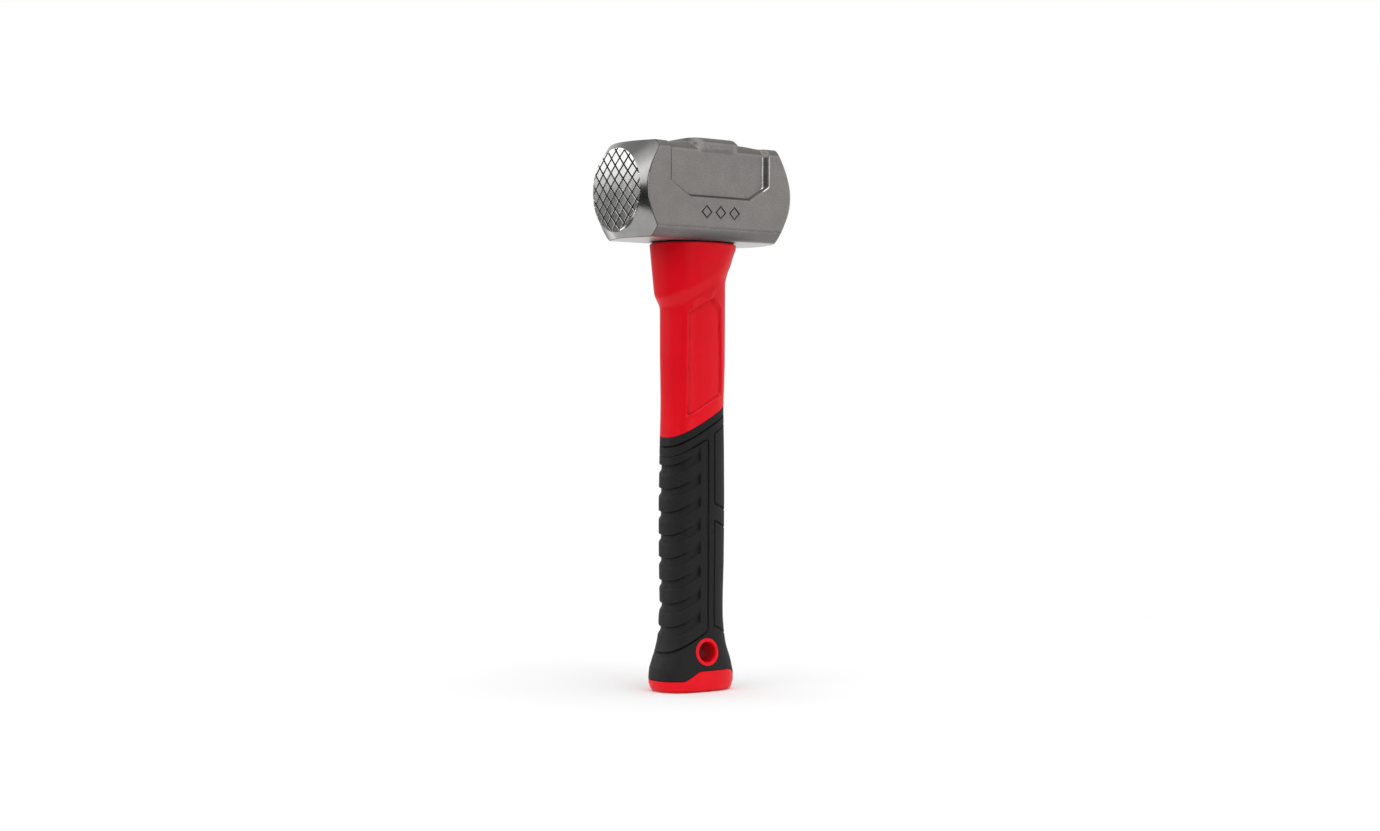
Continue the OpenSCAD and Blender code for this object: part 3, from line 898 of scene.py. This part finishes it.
def steel():
    """Forged satin steel, ground bright on the bevels and faces, with painted shade in the milled grooves."""
    g = Paint("forged_steel")
    x, y, z = (g.math("DIVIDE", v, MM) for v in g.axes())
    along, side = g.math("ABSOLUTE", x), g.math("ABSOLUTE", y)
    height = g.math("SUBTRACT", z, AXIS_Z)
    r = g.length(y, height)

    # The ground parts: the bevels and the crowned faces, one of them milled
    past_bevel = g.math("ADD", along, g.math("DIVIDE", g.math("SUBTRACT", r, FACE_R), BEVEL_TAN))
    face = g.span(along, FACE_X - 1.4, FACE_X - 1.0)
    ground = g.math("MAXIMUM", g.span(past_bevel, FACE_X - 0.35, FACE_X - 0.1), face)
    polished = g.times(face, g.span(r, FACE_R, FACE_R - 0.3))
    crown = g.math("SUBTRACT", FACE_X + CROWN, g.math("DIVIDE", g.times(r, r), 2 * CROWN_R))
    milled = g.times(g.math("LESS_THAN", x, 0.0), g.span(r, FACE_R, FACE_R - 0.5), face)
    # how deep a point lies in a milled groove; the darker colour there is painted shade
    groove = g.times(g.span(g.math("SUBTRACT", crown, along), 0.35, 0.95), milled)

    # The recess: painted shade in the crease at its foot, wear with painted glints on its edges, most of it
    # towards +X
    sunk = g.math("SUBTRACT", HALF_W, side)
    near = g.times(g.span(height, 20, 19), g.math("GREATER_THAN", height, -14),
                   g.span(along, RECESS_HALF + 0.6, RECESS_HALF + 0.2))
    foot = RECESS_DEPTH
    # painted shade along the recess's foot
    crease = g.times(g.band(sunk, 0.45, 0.75, foot - 0.35, foot - 0.1), near)
    upper = g.band(sunk, 0.03, 0.12, 0.35, 0.55)
    lower = g.band(sunk, foot - 0.5, foot - 0.3, foot - 0.1, foot - 0.03)
    end = RECESS_HALF - RECESS_DEPTH
    # real wear on the recess's edges, rubbed smoother, with a lighter colour there as a painted glint
    wear_and_glint = g.times(g.math("MAXIMUM", upper, lower), near, g.span(along, end - 1.6, end - 0.6),
                   g.span(x, -5, 5, 0.2, 1.0))

    # Painted shade: darker on the chamfers along the bottom and the top, and a painted shadow around the
    # handle's neck; painted light on the bottom face
    outer = HALF_W + HEAD_H / 2 - BOTTOM_CHAMFER
    low_chamfer_shade = g.span(g.math("SUBTRACT", side, height), outer - 0.5, outer)
    high_chamfer_shade = g.band(g.facing_up(), 0.22, 0.5, 0.85, 0.97)
    neck = g.times(g.span(g.length(x, y), 33, 22), g.span(height, -19, -22.5))
    underside_light = g.span(height, 0.25 - HEAD_H / 2, 0.05 - HEAD_H / 2, 0, 0.6)

    grain = g.noise(2600, 3, 0.6)
    speck = g.noise(1500, 3, 0.65)
    mottle = g.noise(120, 5, 0.6)
    cloud = g.span(mottle, 0.3, 0.7)
    satin = g.mix(cloud, (0.315, 0.30, 0.292), (0.385, 0.365, 0.355))
    # Random tone and pitting, then painted shade on the chamfers, in the crease, in narrow corners and round
    # the neck, painted glints on the worn edges and painted light on the bottom face
    for share, colour in (
        (g.span(g.noise(26, 3, 0.5), 0.35, 0.7, 0, 0.5), (0.33, 0.315, 0.305)),
        (g.span(speck, 0.35, 0.65, 0.32, 0.0), (0.1, 0.096, 0.092)),
        (g.times(low_chamfer_shade, 0.6), (0.1, 0.097, 0.094)),
        (g.times(high_chamfer_shade, 0.7), (0.12, 0.116, 0.104)),
        (g.times(crease, 0.8), (0.08, 0.077, 0.074)),
        (g.times(g.corner(1.2), 0.8), (0.03, 0.029, 0.028)),
        (g.times(neck, 0.65), (0.05, 0.048, 0.046)),
        (wear_and_glint, (0.75, 0.74, 0.73)),
        (underside_light, (0.55, 0.54, 0.53)),
    ):
        satin = g.mix(share, satin, colour)
    bright = g.mix(cloud, (0.27, 0.268, 0.26), (0.33, 0.327, 0.318))
    bright = g.mix(polished, bright, g.mix(cloud, (0.5, 0.498, 0.492), (0.6, 0.598, 0.59)))
    colour = g.mix(groove, g.mix(ground, satin, bright), (0.07, 0.068, 0.065))

    lines = g.noise(1.0, 2, 0.5, at=g.stretch((5200, 90, 90)))
    scratch = g.noise(1.0, 3, 0.6, at=g.stretch((300, 2400, 2400)))
    rough_satin = g.span(g.math("ADD", grain, g.times(mottle, 0.5)), 0.5, 1.0, 0.36, 0.5)
    rough_bright = g.span(lines, 0.3, 0.7, 0.15, 0.24)
    rough = g.blend(g.math("MAXIMUM", ground, g.times(wear_and_glint, 0.8)), rough_satin, rough_bright)
    # Both heights are centred on 0, so that no step shows where one takes over from the other
    pitted = g.math("SUBTRACT", g.math("ADD", grain, g.times(speck, 1.5)), 1.25)
    scratched = g.times(g.math("SUBTRACT", scratch, 0.5), 0.15)
    under = g.bump(g.blend(ground, pitted, scratched), 0.5, 0.0001)
    return g.finish(Base_Color=colour, Metallic=g.blend(groove, 1.0, 0.85),
                    Roughness=g.blend(groove, rough, 0.45), Normal=g.bump(mottle, 0.07, 0.0003, under))


def red_plastic():
    """Satin red moulding with a fine eroded grain, faint flow marks and light scuffs, and painted shade in its
    corners and in the hanging hole.
    """
    g = Paint("red_plastic")
    tone = g.noise(60, 4, 0.55)
    scuff = g.span(g.noise(1.0, 4, 0.65, at=g.stretch((900, 900, 120))), 0.62, 0.8)
    colour = g.mix(g.span(tone, 0.3, 0.7), (0.86, 0.002, 0.013), (0.78, 0.0015, 0.01))
    # painted shade in inner corners
    colour = g.mix(g.times(g.corner(1.5), 0.75), colour, (0.28, 0.0, 0.004))
    colour = g.mix(g.times(scuff, 0.12), colour, (0.75, 0.12, 0.13))
    # painted shade deep in corners and in the hanging hole, which is also made rougher there
    deep_shade = g.corner(9, 0.3, 0.85)
    colour = g.mix(g.times(deep_shade, 0.97), colour, (0.03, 0.0, 0.0005))
    grain = g.cells(2300)
    rough = g.span(g.math("ADD", tone, g.times(scuff, 0.5)), 0.3, 1.1, 0.3, 0.42)
    rough = g.blend(deep_shade, rough, 0.8)
    under = g.bump(grain, 0.18, 0.0001)
    normal = g.bump(g.noise(22, 2, 0.4), 0.08, 0.0012, under)
    return g.finish(Base_Color=colour, Roughness=rough, Normal=normal, Specular_IOR_Level=0.18)


def grip_rubber():
    """Soft black rubber: a pebbled grain, paler dust on it, a dull sheen, and painted shade in its grooves."""
    g = Paint("grip_rubber")
    tone = g.noise(90, 5, 0.6)
    dust = g.span(g.noise(700, 4, 0.7), 0.55, 0.85)
    colour = g.mix(g.span(tone, 0.3, 0.7), (0.005, 0.005, 0.0053), (0.009, 0.009, 0.0093))
    colour = g.mix(g.times(dust, 0.3), colour, (0.035, 0.034, 0.033))
    # painted shade in the grooves and corners
    colour = g.mix(g.times(g.corner(2.6), 0.9), colour, (0.001, 0.001, 0.001))
    pebble = g.cells(1500)
    fine = g.noise(4200, 2, 0.5)
    rough = g.span(g.math("ADD", tone, g.times(dust, 0.3)), 0.3, 0.9, 0.5, 0.68)
    under = g.bump(pebble, 0.5, 0.00018)
    normal = g.bump(fine, 0.25, 0.00008, under)
    return g.finish(Base_Color=colour, Roughness=rough, Normal=normal, Specular_IOR_Level=0.24)


def seal_rubber():
    g = Paint("seal_rubber")
    colour = g.mix(g.noise(300, 4, 0.6), (0.008, 0.008, 0.008), (0.02, 0.02, 0.02))
    return g.finish(Base_Color=colour, Roughness=g.span(g.noise(500), 0.3, 0.7, 0.6, 0.8),
                    Normal=g.bump(g.noise(2500, 3), 0.3, 0.0001))


def resin():
    """Amber casting resin with fine bubbles."""
    g = Paint("eye_resin")
    cloud = g.noise(260, 5, 0.6)
    bubble = g.span(g.cells(900), 0.0, 0.22, 1, 0)
    colour = g.mix(cloud, (0.34, 0.20, 0.055), (0.48, 0.33, 0.12))
    colour = g.mix(g.times(bubble, 0.5), colour, (0.62, 0.5, 0.26))
    normal = g.bump(bubble, 0.3, 0.0002, g.bump(g.noise(180, 3), 0.3, 0.0006))
    return g.finish(Base_Color=colour, Roughness=g.span(cloud, 0.3, 0.7, 0.14, 0.3), Normal=normal,
                    Coat_Weight=0.4, Coat_Roughness=0.08)


def fibreglass():
    """The sawn end of a pultruded rod: bundles of glass ends in resin, with saw marks across."""
    g = Paint("fibreglass")
    bundle = g.cells(1.0, at=g.stretch((1900, 1900, 160)))
    streak = g.noise(1.0, 4, 0.6, at=g.stretch((1200, 1200, 40)))
    saw = g.noise(1.0, 2, 0.5, at=g.stretch((3200, 220, 200)))
    colour = g.mix(g.span(bundle, 0.1, 0.6), (0.66, 0.58, 0.36), (0.42, 0.33, 0.16))
    colour = g.mix(g.span(streak, 0.4, 0.75, 0, 0.55), colour, (0.78, 0.73, 0.56))
    normal = g.bump(saw, 0.35, 0.0002, g.bump(bundle, 0.4, 0.0002))
    return g.finish(Base_Color=colour, Roughness=g.span(saw, 0.3, 0.7, 0.5, 0.75), Normal=normal)


def floor_paint():
    g = Paint("floor_paper")
    tone = g.noise(3, 3, 0.5)
    return g.finish(Base_Color=g.mix(tone, (0.945, 0.945, 0.945), (0.955, 0.955, 0.955)), Roughness=1.0,
                    Specular_IOR_Level=0.0)


# -------- put together

RED = red_plastic()
PIECES = [
    (make_head, "head", "forged_steel", steel()),
    (make_jacket, "handle_jacket", "red_plastic", RED),
    (make_grip, "grip_sleeve", "grip_rubber", grip_rubber()),
    (make_cap, "butt_cap", "red_plastic", RED),
    (make_bushing, "lanyard_bushing", "red_plastic", RED),
    (make_gasket, "neck_gasket", "seal_rubber", seal_rubber()),
    (make_resin, "eye_epoxy", "epoxy_resin", resin()),
    (make_core, "fibreglass_core", "fibreglass", fibreglass()),
]
for make, node, slot, material in PIECES:
    piece = make()
    piece.data.materials.clear()
    piece.data.materials.append(material)
    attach(piece, "root")
    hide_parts(node)

# -------- floor, light and camera, in metres

FLOOR_R = 0.5


def make_floor():
    """A round sheet of paper under the hammer."""
    turn = circle(128)
    points = np.stack([FLOOR_R * np.cos(turn), FLOOR_R * np.sin(turn), 0 * turn], 1)
    mesh = bpy.data.meshes.new("floor")
    mesh.from_pydata(points.tolist(), [], [tuple(range(len(turn)))])
    mesh.materials.append(floor_paint())
    floor = add("floor", mesh)


make_floor()

VIEW_TURN = math.radians(36.1)
VIEW_Z = 0.1395
VIEW_DISTANCE = 1.1
VIEW_ROLL = math.radians(0.2)
AXIS_SHIFT = 0.0009  # the handle stands this far right of the picture's middle
towards = Vector((math.sin(VIEW_TURN), math.cos(VIEW_TURN), 0))
right = Vector((math.cos(VIEW_TURN), -math.sin(VIEW_TURN), 0))
camera = add("camera", bpy.data.cameras.new("camera"))
camera.location = -VIEW_DISTANCE * towards - AXIS_SHIFT * right + Vector((0, 0, VIEW_Z))
camera.rotation_euler = (math.pi / 2, -VIEW_ROLL, -VIEW_TURN)
camera.data.sensor_width = 36
camera.data.lens = 56.3
camera.data.clip_start = 0.01
bpy.context.scene.camera = camera

# A broad, even light from above
lamp = add("overhead", bpy.data.lights.new("overhead", "SUN"))
lamp.data.energy = 1.0
lamp.data.angle = math.radians(45)
lamp_from = right * 0.15 - towards * 0.1 + Vector((0, 0, 1))
lamp.rotation_euler = lamp_from.to_track_quat("Z", "Y").to_euler()

BACKDROP = 1.0  # brightness of the paper behind the hammer, the same as the floor's
# Soft boxes around the hammer: turn from the camera in degrees (+ is the camera's right), half-width,
# lowest and highest elevation as sines, brightness
SOFT_BOXES = [
    (-112, 24, 0.15, 0.45, 2.3),
    (-46, 26, 0.18, 0.75, 1.9),
    (34, 18, -0.05, 0.7, 1.6),
    (98, 34, -0.2, 0.6, 0.72),
    (180, 38, 0.0, 0.8, 0.35),
    (180, 55, -0.8, -0.2, 1.5),
]
SOFT_SIDE, SOFT_LOW, SOFT_HIGH = 9, 0.04, 0.15  # how soft their edges are: degrees, then sines


def studio():
    """A world of soft boxes over a dim room. What the camera sees directly is plain paper."""
    world = bpy.data.worlds.new("studio")
    world.use_nodes = True
    tree = world.node_tree
    g = Graph(tree, "Generated")
    x, y, z = g.axes()
    across = g.math("ADD", g.times(x, right.x), g.times(y, right.y))
    beyond = g.math("ADD", g.times(x, towards.x), g.times(y, towards.y))
    turn = g.math("ARCTAN2", across, g.times(beyond, -1.0))
    total = g.math("ADD", g.span(z, 0.0, 1.0, 0.0, 0.4), g.span(beyond, -0.5, 1.0, 0.05, 0.3))
    for centre, half, low, high, brightness in SOFT_BOXES:
        off = g.math("SUBTRACT", turn, math.radians(centre))
        off = g.math("ABSOLUTE", g.math("WRAP", off, math.pi, -math.pi))
        wide = g.span(off, math.radians(half + SOFT_SIDE), math.radians(half - SOFT_SIDE))
        tall = g.band(z, low - SOFT_LOW, low + SOFT_LOW, high - SOFT_HIGH, high + SOFT_HIGH)
        total = g.math("ADD", total, g.times(wide, tall, brightness))
    background = tree.nodes["Background"]
    seen = tree.nodes.new("ShaderNodeLightPath").outputs["Is Camera Ray"]
    background.inputs["Color"].default_value = (1, 1, 1, 1)
    g.put(background.inputs["Strength"], g.blend(seen, total, BACKDROP))
    return world


bpy.context.scene.world = studio()
bpy.context.scene.view_settings.view_transform = "Standard"
